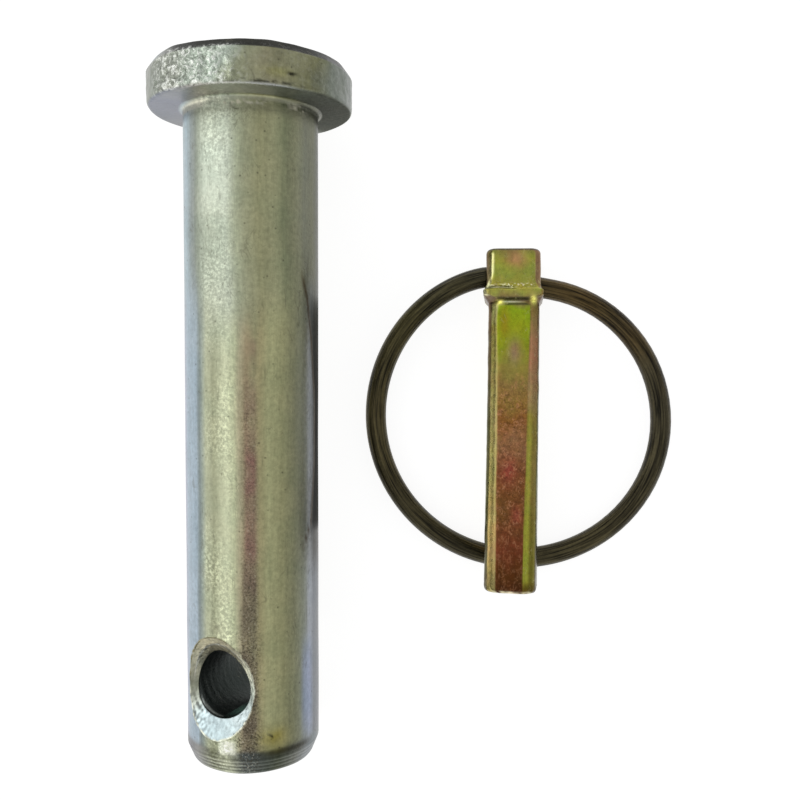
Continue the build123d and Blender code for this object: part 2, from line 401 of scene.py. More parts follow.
# Painted highlight: a lighter patch high on the shank's left side, near the head.
lit = hill(np.radians(from_up + 22) * shank_r, 0, 3.4, 4) * hill(along, -13, 7.5, 4)
crease_y, crease_angles = [31, 35.5, 43, 54.5, 66, 77.5, 82], [55, 62.5, 69, 75.5, 75, 68.5, 56]
crease_at = np.interp(-along, crease_y, crease_angles)
beside = span(-along, 38, 46, 76, 80) + ease(-along, 82, 90)
past_crease = ease(from_up, np.minimum(crease_at - 4, 78), np.minimum(crease_at, 82))
on_strip = ease(from_up, 60, 64) * (1 - past_crease * (along > -82)) * (from_up < 90)
blued = hill(from_up, 62, 8, 4) * hill(along, -109, 9, 4)
crease_line = hill(from_up, crease_at, 1.8) * span(-along, 30, 33, 80, 83)
on_flank = (1 - ease(from_up, 92, 104)) * span(-along, 30, 40, 77, 82)
dulled = ease(from_up, crease_at - 1, crease_at + 3) * on_flank
# The last mark, 3c3c3c on the right flank past the crease, is painted shade.
tint = paint(
    tint, (pink, flushed * (0.85 + 0.15 * ripple(points, 5, 33))), ("e9f2e2", 0.32 * lit),
    ("a3a8b3", (0.3 + 0.12 * ease(-along, 76, 84)) * beside * on_strip),
    ("8693b6", 0.5 * blued), ("44351f", 0.9 * crease_line),
    ("3c3c3c", 0.62 * ease(from_up, crease_at, crease_at + 4) * on_flank))
bore, sink = np.zeros((2, len(points)))
bore[skin_count:], sink[skin_count:] = ~in_sink.ravel(), in_sink.ravel()
skin = 1 - bore - sink


def patch(angle, place, wide, long):
    """A soft-edged oval on the pin's skin, at an angle from the top and a place along it."""
    return hill(np.radians(from_up - angle) * shank_r, 0, wide) * hill(along, place, long) * skin


wall_mask = ease(radius, disc_r - 0.7, disc_r - 0.2) * skin
# The head's wall round it, lightest near -8 degrees: a painted highlight on its left third and
# painted shade to the right.
head_wall = ramp(from_up + 4 * ripple(points, 9, 22), [
    (-180, "8b8c7a"), (-100, "8c8e84"), (-70, "94968f"), (-52, "888d81"), (-36, "9a9e93"),
    (-8, "c1cdbe"), (4, "a7aa8d"), (20, "a3a082"), (45, "7f7f60"), (62, "686e64"), (80, "7c807b"),
    (130, "85856f")], period=360)
pitted = held(1.3 * patch(30.5, 2.35, 0.42, 0.3) + 0.5 * patch(33, 2.5, 0.4, 0.25))
rim_edge = hill(along, 0.25, 0.35) * ease(radius, disc_r - 0.9, disc_r - 0.5) * skin
# Painted highlight along the rim's lower edge on the left, and painted shade in broken patches
# right of it.
glint = held(hill(from_up, -30, 19, 4) * (0.55 + 0.6 * ripple(points, 1.6, 29)))
rim_edge_shade = 0.7 * hill(from_up, 6, 16, 4) * (ripple(points, 2.4, 30) > -0.4)
under = ease(-along, -0.5, -0.05) * ease(radius, shank_r + 0.5, shank_r + 0.9) * (along > -0.9)
# The head's underside, light on the left and middle and dark on the right: painted highlight and
# painted shade.
under_tint = ramp(from_up, [
    (-180, "8a8a80"), (-58, "797d8e"), (-40, "7c808a"), (-20, "a9a49a"), (0, "c9c8c0"),
    (20, "aeb1b3"), (38, "777c6e"), (50, "686b60"), (64, "62655b"), (78, "606259"),
    (120, "66685f")], period=360)
# Painted shade in the neck's fillet, darkest on the right.
neck_band = hill(along, -0.55, 0.4) * (radius < shank_r + 0.6) * skin
right_neck_shade = neck_band * span(from_up, 38, 60, 110, 130)
dulled = np.maximum(dulled, under * span(from_up, 26, 46, 130, 150))
dulled = np.maximum(dulled, right_neck_shade)
foot, wide_foot = hill(along, -1.25, 0.4) * skin, hill(along, -0.95, 0.75, 4) * skin
# Painted highlights: light crescents on the neck's fillet.
neck_crescent_highlights = (1.3 * hill(from_up, 3, 18, 4) * held(ripple(points, 0.9, 28) + 0.1) * foot
             + 0.9 * hill(from_up, 50, 11, 4) * (ripple(points, 1.1, 26) > -0.2) * foot
             + 0.85 * hill(from_up, -52, 22, 4) * wide_foot)
shaded_foot = hill(along, -2.3, 0.8) * ease(from_up, -60, -40) * skin
# Painted shade in broken gaps along the rim's underside edge.
rim_gap_shade = hill(along, 0.62, 0.22) * wall_mask * hill(from_up, 15, 24, 4)
rim_gap_shade = held(0.95 * rim_gap_shade * (ripple(points * [1, 2, 1], 1.7, 52) > 0.35))
# The chamfer's top painted nearly black, less so on the left: a painted dark reflection.
rim_dark_reflection = ease(along, chamfer_y - 0.05, chamfer_y + 0.25)
rim_dark_reflection = rim_dark_reflection * ease(radius, disc_r - 2.2, disc_r - 1.6)
end_tint = ramp(from_up, [
    (-180, "8a8768"), (-60, "79797e"), (-45, "8c8b88"), (-28, "656751"), (-12, "aaad94"),
    (0, "585f5f"), (12, "535956"), (30, "545949"), (48, "73756e"), (62, "878b8d"), (80, "777d80"),
    (110, "7d7d66")], period=360)
# On the lead-in: painted shade in the turned grooves and a painted highlight on the ridges' crests
# on the left.
groove = 1 - ridge(along, np.arctan2(points[:, 0], points[:, 2]))
turned = ease(-along, grip_length - 1.2, grip_length + 0.3) * skin
turned = turned * (0.45 + 0.55 * hill(from_up, 12, 42, 4))
# Painted shade on the right where the shank rounds into the lead-in.
corner_shade = hill(from_up, 42, 22, 4) * hill(along, 1.1 - grip_length, 0.7) * skin
ochre = patch(26, 3.9 - grip_length, 2.3, 1.9) * (0.9 + 0.1 * ripple(points, 3.0, 23))
ochre_specks = patch(22, 4.6 - grip_length, 2.2, 1.2) * (ripple(points, 0.8, 35) > 0.75)
# Painted highlight: a chalk-white streak on the lead-in, left of the top.
highlight_streak = hill(from_up, -13, 7.5, 6) * hill(along, 2.4 - grip_length, 1.3, 6) * skin
grainy = 1 + 0.1 * ripple(points, 7, 36) + 0.06 * ripple(points, 2.0, 37)
top_face = ease(along, disc_thickness - 0.4, disc_thickness)
top_face = top_face * ease(-radius, 1.9 - disc_r, 2.6 - disc_r)
end_face = ease(-along, -end_y - 0.5, -end_y) * ease(-radius, 0.4 - end_r, 1.4 - end_r)
tint = paint(
    tint, (head_wall, wall_mask), ("a6a465", 0.6 * patch(23, 2.4, 1.6, 0.9) * wall_mask),
    ("2a281d", pitted * wall_mask), ("f4f4e8", glint * rim_edge), ("45463c", rim_edge_shade * rim_edge),
    (under_tint, under), ("8a8b7b", 0.7 * neck_band * ease(from_up, -52, -40)),
    ("505248", 0.8 * right_neck_shade), ("e0dcc6", held(neck_crescent_highlights)), ("6f705d", 0.45 * shaded_foot),
    ("33322a", rim_gap_shade), ("0d0d0b", 0.97 * rim_dark_reflection * (1 - 0.65 * ease(-from_up, 34, 52))),
    (end_tint, ease(-along, grip_length - 2.4, grip_length - 1.2) * skin),
    ("2a2a20", 0.6 * held(groove * 1.5 - 0.5) * turned),
    ("d9dcc6", 0.5 * held(1 - groove * 2.2) * turned * hill(from_up, -22, 24)),
    ("2e2c1e", 0.8 * corner_shade), ("a3943f", held(0.95 * ochre * (1 - turned))),
    ("30301f", held(1.1 * ochre_specks)), ("f6f7e4", 0.95 * highlight_streak),
    (linear("a2a394") * grainy[:, None], held(top_face + end_face)))
freckled = np.max([
    (0.5 + 0.25 * browner) * ease(-along, 40, 62) * hill(from_up, 7, 7.5, 4) * skin,
    ease(-along, 94, 100) * hill(from_up, 5, 10, 4) * skin,
    0.5 * patch(-10, -3.2, 5, 1.6),
    1.2 * patch(0, 3.4 - grip_length, 3.0, 2.6) * (1 - highlight_streak)], axis=0)
# Where the material scatters light flecks into the colour: a painted sparkle along the shank's
# highlight band.
sparkling = hill(from_up, -21, 16, 4) * (0.65 + 0.35 * ripple(points, 14, 34)) * skin
# Where the head's wall is dented, most on its left third; the material also paints glints and shade
# on these dents.
forged = np.maximum(wall_mask * (0.06 + 0.94 * hill(from_up, -26, 26, 4)), 0.08 * sink)
scuffed = held(patch(-20, -12, 5.5, 9) + 0.5 * patch(-18, -26, 4.5, 8))
hollow = held(bore + rim_dark_reflection)

# Torn bright cuts in the countersink, painted shade and a painted green reflection in the bore, a
# painted highlight on its burr, and scraped lips.
from_sink = np.degrees(np.arctan2(points[:, 0], along + hole_from_head))
sink_tint = ramp(from_sink, [
    (-180, "c6d6da"), (-150, "c2d2d6"), (-125, "a8aea4"), (-100, "a8a995"), (-60, "cbc8b0"),
    (-20, "dad2b4"), (20, "ddd5b6"), (60, "d6d6be"), (95, "d4dacb"), (125, "cddada")], period=360)
mottle = np.clip(ripple(points, 1.0, 27), -1, 1) * (0.1 + 0.55 * hill(from_sink, -138, 24))
burr_highlight = hill(from_sink, -150, 30, 4) * hill(points[:, 2], sink_foot + 0.55, 0.25)
# Painted shade in the bore, a painted green reflection low in it and a painted highlight along the
# burr.
tint = paint(
    tint, (sink_tint * (1 + mottle)[:, None], sink), ("2e3532", bore),
    ("a6dcc8", bore * hill(from_sink, 158, 24) * hill(points[:, 2], 5.4, 2.5)),
    ("e8efe9", 0.9 * bore * burr_highlight))
lip, around = np.zeros(len(points)), np.arange(len(heading))
for ring, share in ((mouths[0], 1.0), (mouths[0] - len(heading), 0.8), (skin_count + around, 0.9)):
    lip[ring] = share
# Scraped lips, with a painted highlight on the side towards the light and painted shade on the
# other.
lip_light_and_shade = mix(linear("e6e6d2"), "8b8562", ease(np.cos(np.radians(from_sink + 30)), 0.2, 0.7))
tint = mix(tint, lip_light_and_shade, lip * held(0.75 + 0.45 * ripple(points, 1.3, 31)))
# Painted highlight: a near-white line along the tool's step in the countersink.
step_highlight = ease(np.cos(heading + 0.25), 0.15, 0.6)
for row, share in ((6, step_highlight), (7, 0.7 * step_highlight)):
    ring = skin_count + row * len(heading) + around
    tint[ring] = mix(tint[ring], "fffdf0", share)


def effect(name, inputs, outputs):
    """A node group with these named inputs (name, socket, value) and outputs (name, socket)."""
    tree = bpy.data.node_groups.new(name, "ShaderNodeTree")
    for label, kind, value in inputs:
        made = tree.interface.new_socket(label, in_out="INPUT", socket_type="NodeSocket" + kind)
        if value is not None:
            made.default_value = value
    for label, kind in outputs:
        tree.interface.new_socket(label, in_out="OUTPUT", socket_type="NodeSocket" + kind)
    return tree, tree.nodes.new("NodeGroupInput").outputs, tree.nodes.new("NodeGroupOutput").inputs


def link(value, socket):
    """Links a value to a socket in the same tree, or sets the socket to a constant."""
    if isinstance(value, bpy.types.NodeSocket):
        value.id_data.links.new(value, socket)
    else:
        socket.default_value = value


def node(tree, kind, inputs=None, **settings):
    """A shader node with these settings. Inputs are constants, or sockets to link."""
    made = tree.nodes.new("ShaderNode" + kind)
    for setting, value in settings.items():
        setattr(made, setting, value)
    for label, value in (inputs or {}).items():
        link(value, made.inputs[label])
    return made


def tree_of(*values):
    """The node tree of the first socket among these values."""
    return next(value.id_data for value in values if isinstance(value, bpy.types.NodeSocket))


def maths(operation, *values):
    """The result of a Math node on these constants or sockets."""
    return node(tree_of(*values), "Math", dict(enumerate(values)), operation=operation).outputs[0]


def times(first, second):
    """The product of two values."""
    return maths("MULTIPLY", first, second)


def rescale(value, low, high, to_low, to_high):
    """A value mapped from one range to another, held at its ends."""
    settings = {0: value, 1: low, 2: high, 3: to_low, 4: to_high}
    return node(value.id_data, "MapRange", settings).outputs[0]


def noise(at, scale, detail, roughness, distortion=0.0):
    """The value of a Noise Texture at that place."""
    settings = {"Vector": at, "Scale": scale, "Detail": detail, "Roughness": roughness,
                "Distortion": distortion}
    return node(at.id_data, "TexNoise", settings).outputs["Fac"]


def drawn_along(at, share):
    """A place whose y counts for only this share, so that a pattern on it is drawn out along y."""
    factors = node(at.id_data, "CombineXYZ", {"X": 1.0, "Y": share, "Z": 1.0}).outputs[0]
    return node(at.id_data, "VectorMath", {0: at, 1: factors}, operation="MULTIPLY").outputs[0]


# Grain: metal flecks and marks drawn out along the piece, as a value round 1 and a height.
plated_grain, given, result = effect("Plated grain", [
    ("Vector", "Vector", None), ("Fleck size", "Float", 0.4), ("Drawn out", "Float", 0.1),
    ("Contrast", "Float", 0.4),
], [("Value", "Float"), ("Height", "Float"), ("Pits", "Float")])
tree, at = plated_grain, given["Vector"]
fine = maths("DIVIDE", 0.55, given["Fleck size"])
drawn = noise(drawn_along(at, given["Drawn out"]), 1.3, 5.0, 0.7)
both = maths("ADD", times(noise(at, fine, 3.0, 0.65), 0.55), times(drawn, 0.45))
swing = times(maths("SUBTRACT", both, 0.5), times(given["Contrast"], 4.0))
holes_in = node(tree, "TexVoronoi", {"Vector": at, "Scale": times(fine, 0.35)})
link(maths("ADD", 1.0, swing), result["Value"])
link(both, result["Height"])
link(rescale(holes_in.outputs["Distance"], 0.04, 0.12, 1.0, 0.0), result["Pits"])

# Scratches: thin crooked lines where a warped noise crosses its middle value.
scratches, given, result = effect("Scratches", [
    ("Vector", "Vector", None), ("Length", "Float", 3.0), ("Width", "Float", 0.05),
    ("Lengthwise", "Float", 0.4),
], [("Mask", "Float")])
tree, at = scratches, given["Vector"]
lines = noise(drawn_along(at, given["Lengthwise"]),
              maths("DIVIDE", 1.6, given["Length"]), 2.5, 0.6, 0.7)
off_line = maths("ABSOLUTE", maths("SUBTRACT", lines, 0.5))
line = rescale(off_line, 0.0, given["Width"], 1.0, 0.0)
broken = noise(at, maths("DIVIDE", 1.1, given["Length"]), 1.0, 0.5)
link(times(line, rescale(broken, 0.5, 0.6, 0.0, 1.0)), result["Mask"])


def use(tree, effect_tree, **inputs):
    """The outputs of one of the effects in a material, with its own values."""
    inputs = {label.replace("_", " "): value for label, value in inputs.items()}
    return node(tree, "Group", inputs, node_tree=effect_tree).outputs


def scaled(vector, value):
    """A colour made lighter or darker by a value, or a place measured in another unit."""
    settings = {0: vector, "Scale": value}
    return node(vector.id_data, "VectorMath", settings, operation="SCALE").outputs[0]


def metal(name):
    """A new material's tree, its Principled shader, its place in millimetres and its tint."""
    material = bpy.data.materials.new(name)
    material.use_nodes = True
    tree = material.node_tree
    place = scaled(node(tree, "TexCoord").outputs["Object"], 1000.0)
    painted = node(tree, "Attribute", attribute_name="tint").outputs["Color"]
    return material, tree, tree.nodes["Principled BSDF"], place, painted


def field(tree, name):
    """A value kept at the mesh's points."""
    return node(tree, "Attribute", attribute_name=name).outputs["Fac"]


def blend_colour(share, first, second, how="MIX"):
    """Two colours blended by a Mix node. Either may be six hex digits."""
    first, second = ((*linear(colour), 1.0) if isinstance(colour, str) else colour
                     for colour in (first, second))
    made = node(tree_of(share, first, second), "Mix", {0: share, 6: first, 7: second},
                data_type="RGBA", blend_type=how)
    return made.outputs[2]


def over(colour, *layers):
    """The colour with layers of (share, six hex digits) laid over it in turn."""
    for share, code in layers:
        colour = blend_colour(share, colour, code)
    return colour


def finish(shader, colour, rough, *bumps):
    """Links a colour, a roughness and a chain of bumps to the shader. A bump is a height, the
    distance in metres that it stands for and its strength."""
    link(colour, shader.inputs["Base Color"])
    link(rough, shader.inputs["Roughness"])
    below = {}
    for height, distance, strength in bumps:
        settings = {"Height": height, "Distance": distance, "Strength": strength, **below}
        below = {"Normal": node(shader.id_data, "Bump", settings).outputs[0]}
    link(below["Normal"], shader.inputs["Normal"])


zinc, tree, shader, place, painted = metal("zinc_plate")
grain = use(tree, plated_grain, Vector=place, Fleck_size=0.42, Drawn_out=0.09, Contrast=0.34)
cool = rescale(noise(place, 0.16, 4.0, 0.6), 0.4, 0.65, 0.0, 0.35)
colour = blend_colour(cool, painted, blend_colour(1.0, painted, "d9e4e4", "MULTIPLY"))
colour = scaled(colour, grain["Value"])
# Painted sparkle: light flecks scaled into the colour along the shank's highlight band.
glitter = rescale(noise(place, 1.8, 2.0, 0.7), 0.42, 0.68, -0.1, 0.55)
colour = scaled(colour, maths("ADD", 1.0, times(glitter, field(tree, "sparkling"))))
forged_here, freckled_here = field(tree, "forged"), field(tree, "freckled")
dented = noise(place, 1.15, 3.0, 0.62, 0.5)
nicks = use(tree, scratches, Vector=place, Length=5.0, Width=0.012, Lengthwise=0.3)["Mask"]
scuffs = use(tree, scratches, Vector=place, Length=1.3, Width=0.035, Lengthwise=0.14)["Mask"]
speck = noise(place, 2.7, 2.0, 0.7)
# The first two layers are painted glints on the dents' high facets and painted shade in their low
# ones.
colour = over(
    colour,
    (times(rescale(dented, 0.505, 0.63, 0.0, 0.85), forged_here), "f2f5ee"),
    (times(rescale(dented, 0.47, 0.36, 0.0, 0.6), forged_here), "5d6158"),
    (times(nicks, 0.35), "5a5748"),
    (times(scuffs, times(field(tree, "scuffed"), 0.55)), "7f8574"),
    (times(grain["Pits"], 0.55), "3c3a30"),
    (times(rescale(speck, 0.5, 0.6, 0.0, 0.8), freckled_here), "4c483c"),
    (times(rescale(speck, 0.4, 0.32, 0.0, 0.5), freckled_here), "d5d0bf"))
metallic = rescale(field(tree, "hollow"), 0.0, 1.0, 0.94, 0.75)
link(metallic, shader.inputs["Metallic"])
rough = maths("ADD", times(grain["Height"], 0.34), 0.17)
rough = times(rough, rescale(forged_here, 0.0, 1.0, 1.0, 0.55))
rough = maths("MAXIMUM", rough, times(field(tree, "dulled"), 0.8))
finish(shader, colour, rough, (grain["Height"], 0.00009, 1.0),
       (maths("SUBTRACT", 1.0, nicks), 0.00002, 1.0), (dented, 0.0005, forged_here))
make_piece("headed_pin", points, (quads, hole_quads, fans), pin_axes, pin_origin, "pins", "pin",
           zinc, tint, hollow=hollow, dulled=dulled, freckled=freckled, forged=forged,
           sparkling=sparkling, scuffed=scuffed)

# ---------------------------------------------------------------- linch pin
# Round steel bar pressed to four flats, its head and collar forged between dies, which
# leave a crease on each face. Yellow-passivated zinc gives its green, orange and rust film.
bar_r, bar_flat = 5.9, 5.125
head_half_wide, head_half_deep, head_corner, edge_power = 5.45, 5.6, 6.95, 46
tip_from_eye, tip_round, head_from_eye, head_round = 62.3, 1.1, 6.1, 1.1
eye_slant, eye_lean, wire_r, eye_r = math.radians(8.7), math.radians(9.0), 2.1, 2.15

joint = frame["joints"][0]
linch_origin = 1000 * np.array(joint["pos_m"])
linch_y = -unit(mounts["linch_shank"]["axis"])
eye_row = unit(joint["axis"])
eye_flat = unit(eye_row - (eye_row @ linch_y) * linch_y)
eye_up = np.cross(eye_flat, linch_y)
linch_axes = np.array([eye_flat * math.cos(eye_lean) + eye_up * math.sin(eye_lean), linch_y,
                       eye_up * math.cos(eye_lean) - eye_flat * math.sin(eye_lean)])
eye_line = linch_axes @ eye_row


def levels(*pairs, flared=0):
    """Values at the rows' levels, between pairs of (y, value). The first value may first be
    flared by this much below the head, along a quarter of an ellipse."""
    (top, first), *rest = pairs
    flare = [(y, first + flared * share) for y, share in head_flare] if flared else []
    pairs = np.array([(top, first), *flare, *rest])[::-1]
    return np.interp(row_y, pairs[:, 0], pairs[:, 1])


def at_row(row_values):
    """A row's value at each point, by how far along the bar it is."""
    return np.interp(along, row_y[::-1], row_values[::-1])


body_y = np.concatenate([
    np.linspace(head_from_eye - head_round, -0.2, 22)[1:], np.arange(-0.35, -6.0, -0.13),
    np.arange(-6.2, -12, -0.25), np.arange(-12, tip_round - tip_from_eye, -0.62),
    [tip_round - tip_from_eye]])
turn = np.radians(np.linspace(90, 0, 9))
row_y = np.concatenate([
    np.full(7, head_from_eye), head_from_eye - head_round + head_round * np.sin(turn), body_y,
    tip_round - tip_from_eye - tip_round * np.sin(turn[::-1])[1:], np.full(7, -tip_from_eye)])
inset = np.concatenate([
    np.linspace(5.2, head_round + 0.35, 7), head_round * (1 - np.cos(turn)), 0 * body_y,
    tip_round * (1 - np.cos(turn[::-1]))[1:], np.linspace(tip_round + 0.35, 5.0, 7)])
head_flare = [(-0.05 - 2.3 * t, 1 - math.sqrt(1 - t * t)) for t in np.linspace(0, 1, 9)]
bar_end = (-tip_from_eye, bar_flat)
row_wide = levels((head_from_eye, head_half_wide), (-2.85, 6.05), (-3.35, 5.95), (-4.65, bar_flat),
                  bar_end, flared=0.5)
row_front = levels((head_from_eye, head_half_deep), (-3.2, 6.27), (-3.95, 6.2), (-4.15, 6.02),
                   (-4.5, 5.42), (-4.75, 5.45), (-5.1, 5.38), (-5.5, 4.95), (-8, 4.86), (-16, 5.0),
                   (-25, 5.08), (-40, bar_flat), (-50, 5.22), (-tip_from_eye, 5.26), flared=0.55)
row_back = levels((head_from_eye, head_half_deep), (-3.2, 6.25), (-4.1, 6.15), (-4.5, 5.42),
                  (-5.1, 5.42), (-5.5, bar_flat), bar_end, flared=0.55)
row_corner = levels((head_from_eye, head_corner), (-3.35, 8.1), (-4.65, bar_r),
                    (-tip_from_eye, bar_r), flared=1.25)
row_twist = np.radians(levels((head_from_eye, 0), (-2, 0), (-8, 1.5), (-18, 1.5), (-34, 2),
                              (-44, 3.3), (-tip_from_eye, 4)))
row_shift = levels((head_from_eye, -0.35), (-2, -0.3), (-6, -0.05), (-20, 0), (-tip_from_eye, 0))
row_run = np.r_[0, np.cumsum(np.hypot(np.diff(row_y), np.diff(inset)) + 1e-6)]


def linch_surface(station, bearing):
    """A square section with its corners cut by a circle. Each half-width is a function of y, a
    high power mean rounds the edges between them, and creases and lumps move the faces."""
    rows = row_y, inset, row_wide, row_front, row_back, row_corner, row_twist, row_shift
    y, in_by, wide, front, back, corner, twist, shift = (
        np.interp(station, row_run, values) for values in rows)
    turned = bearing + twist
    sine, cosine = np.abs(np.sin(turned)) + 1e-9, np.abs(np.cos(turned)) + 1e-9
    deep = np.where(np.cos(turned) > 0, front, back)
    r = ((sine / (wide - in_by)) ** edge_power + (cosine / (deep - in_by)) ** edge_power
         + (1 / (corner - in_by)) ** edge_power) ** (-1 / edge_power)
    x, z = r * np.sin(bearing), r * np.cos(bearing)
    base = np.stack([x, y, z], -1)
    face = ease(np.cos(turned), 0.74, 0.82)
    seam = -2.05 - 0.1 * np.sin(0.9 * x + 1.0) - 0.03 * ripple(base, 1.1, 30)
    along_seam = span(x, -5.4, -4.6, -0.6, 0.9)
    lift = -0.45 * face * along_seam * hill(y, seam, 0.2)
    lip = along_seam * hill(y, seam + 0.42, 0.24)
    lift += 0.16 * face * lip * (1 + 0.5 * ripple(base, 1.4, 31))
    crumbs = span(x, -2.6, -1.6, 2.6, 3.4) * hill(y, seam + 0.4, 0.26)
    lift += 0.12 * face * crumbs * ripple(base, 0.62, 32)
    lift -= 0.07 * face * span(x, 0.2, 1.2, 3.6, 4.6) * hill(y, seam - 0.1, 0.2)
    collar = hill(y, -3.1, 1.3, 4)
    lift += 0.02 * collar * ripple(base, 1.3, 33)
    plain = 1 - ease(in_by, 0.5, 1.2)
    lift += plain * (0.018 * ripple(base, 5.5, 34) + 0.012 * ripple(base, 2.1, 35))
    tip_burr = ease(-y, tip_from_eye - 1.5, tip_from_eye - 0.8) * plain
    lift += 0.05 * tip_burr * ripple(base, 1.2, 36)
    x = x + lift * np.sin(bearing) + shift
    return np.stack([x, y, z + lift * np.cos(bearing)], -1)


def eye_mouth(side):
    """The eye's mouth on that side: a slanted circle's points, slid along the eye to the flank."""
    sign = math.copysign(1, math.sin(side))

    def mouth(station, bearing):
        heading = np.arctan2(sign * (bearing - side) * 5.5, np.interp(station, row_run, row_y))
        rim = eye_rim(heading, eye_r + 0.3)
        slide = np.zeros_like(heading)
        for _ in range(6):
            at = rim + slide[:, None] * eye_line
            flank = np.interp(-at[:, 1], -row_y, sign * row_wide + row_shift)
            slide = (flank - rim[:, 0]) / eye_line[0]
        at = rim + slide[:, None] * eye_line
        shift = np.interp(-at[:, 1], -row_y, row_shift)
        found = np.arctan2(at[:, 0] - shift, at[:, 2])
        found = side + (found - side + math.pi) % (2 * math.pi) - math.pi
        return np.interp(-at[:, 1], -row_y, row_run), found
    return mouth


eye_across = unit(np.cross(eye_line, [0, 1, 0]))
eye_along = np.cross(eye_across, eye_line)


def eye_rim(heading, radius):
    """Points of a circle about the eye's line, at a heading from the head."""
    return radius * (np.cos(heading)[:, None] * eye_along - np.sin(heading)[:, None] * eye_across)


linch_columns, eye_half = 192, 19
eye_rows = (np.abs(row_y - 4.3).argmin(), np.abs(row_y + 4.3).argmin())
quarter = linch_columns // 4
eye_weights = np.array([0.75, 0.5, 0.28, 0.12, 0.04, 0.0])
eyes = [((*eye_rows, middle - eye_half, middle + eye_half), eye_mouth(side), mirrored, eye_weights)
        for side, middle, mirrored in ((math.pi / 2, quarter, False),
                                       (3 * math.pi / 2, 3 * quarter, True))]
points, quads, fans, mouths = pierced_skin(linch_surface, row_run, linch_columns, eyes)
edge_station, edge_bearing = block_edge(eyes[0][0], 2 * math.pi / linch_columns, row_run, False)[2:]
heading = np.arctan2((edge_bearing - math.pi / 2) * 5.5, np.interp(edge_station, row_run, row_y))
rim = eye_rim(heading, eye_r)
right, left = points[mouths[0]] @ eye_line, points[mouths[1]] @ eye_line
wall = np.stack([rim + (right + (left - right) * share)[:, None] * eye_line
                 for share in (0.012, 0.04, 0.1, 0.3, 0.5, 0.7, 0.9, 0.96, 0.988)])
eye_quads = tunnel(mouths[0], mouths[1], wall, len(points))
skin_count = len(points)
points = np.concatenate([points, wall.reshape(-1, 3)])

# Colour of the passivation film: face by face and changing along the bar, with painted highlights
# on the arcs and painted shade on the flanks, creases and edges.
x, along, z = points.T
from_front = np.degrees(np.arctan2(x, z))
front = from_front + np.degrees(at_row(row_twist))
wave = ripple(points, 7, 41)
face_along = ramp(along + 0.5 * ripple(points * [1, 0.4, 1], 4, 42), [
    (-62.5, "402511"), (-58, "573214"), (-54, "6e3922"), (-47, "6b4825"), (-39, "7b4b2b"),
    (-33, "8c6644"), (-28.5, "865a2d"), (-25.5, "8d6f37"), (-21.5, "8b7140"), (-18, "91863e"),
    (-14, "8e9722"), (-9, "96a521"), (-6, "8fa621"), (-4.2, "8b7a4e"), (-2.4, "9f9f49"),
    (-1.2, "9b953f"), (1.2, "939942"), (4, "9ca03f"), (6.1, "7d7440")])
redder = hill(x, -0.8, 1.5) * hill(along, -38.5, 2.6)
redder = redder + 0.8 * hill(x, 0.9, 1.2) * hill(along, -47, 2)
face_along = paint(
    face_along,
    ("99801f", 0.75 * hill(x, -1.9, 1.0) * hill(along, -9, 3) * (np.cos(np.radians(front)) > 0)),
    ("9c7a60", 0.9 * hill(x, 0.1, 1.3) * hill(along, -14.8, 2.6) * (z > 0)),
    ("93413a", held(0.7 * redder) * (z > 0)),
    ("b8875f", 0.9 * hill(x, 0.3, 1.9) * hill(along, 3.7, 1.6) * (z > 0)))
left_arc = ramp(along + wave, [
    (-62, "887c4e"), (-50, "b69961"), (-40, "c5b673"), (-28, "c9ba78"), (-10, "b4aa5c"),
    (-5, "c4be84"), (0, "d6d6ac"), (6, "a9a455")])
right_arc = ramp(along + wave, [
    (-62, "5e4d1b"), (-58, "767025"), (-40, "827239"), (-28, "827333"), (-24, "927a51"),
    (-19, "8f6e4d"), (-16, "996c4e"), (-11, "8e6c4a"), (-7, "776537"), (-2, "635023"),
    (6, "886b54")])
# The flanks' dark colours are painted shade.
flank = ramp(along + 2 * wave, [(-62, "4a4030"), (-45, "5b5a2e"), (-25, "4e4a28"), (-8, "66502e"),
                                (0, "6a5c3c"), (6, "6b6040")])
back_face = ramp(along + 1.5 * wave, [
    (-62, "5a4526"), (-50, "6f5a2a"), (-36, "7a7030"), (-22, "738030"), (-12, "7d6a34"),
    (-4, "8b7a50"), (6, "7f8538")])
face_deep = at_row(row_front)
face_half = np.sqrt(at_row(row_corner) ** 2 - face_deep ** 2)
past_edge = np.abs(front) - np.degrees(np.arctan2(face_half, face_deep))
on_bar = ease(-along, 4.0, 6.0)
on_face = ease(-past_edge, -1.2, 1.4) * on_bar
on_face = on_face + (1 - on_bar) * ease(np.abs(z), face_deep - 0.35, face_deep - 0.1)
# Painted highlight: the left arc lighter away from the face and lighter low on the bar; the right
# arc lighter near the face and darker away from it.
arc_highlight_gain = np.interp(past_edge, [0, 4, 9, 20], [0.55, 0.65, 1.45, 1.5])
left_arc = left_arc * (1 + (arc_highlight_gain - 1) * ease(-along, 4.6, 6.5))[:, None]
left_arc = left_arc * (1 + 0.35 * span(-along, 45, 51, 57, 60))[:, None]
right_arc = right_arc * np.interp(past_edge, [0, 8, 16, 22], [1.35, 1.2, 0.86, 0.78])[:, None]
green = (0.65 * ease(-along, 24, 36) + 0.35 * ease(-along, 42, 52)) * (1 - ease(-along, 59, 61))
right_arc = mix(right_arc, "a8ae40", 0.75 * green * (1 - ease(past_edge, 6, 15)))
arc = np.where((x > 0)[:, None], right_arc, left_arc)
outer = np.where(x < 0, ease(-front, 45, 50), ease(front, 52, 58))
outer = outer * (1 - ease(np.abs(from_front), 120, 132))
on_back = ease(-np.cos(np.radians(front)), math.cos(math.radians(32)), math.cos(math.radians(28)))

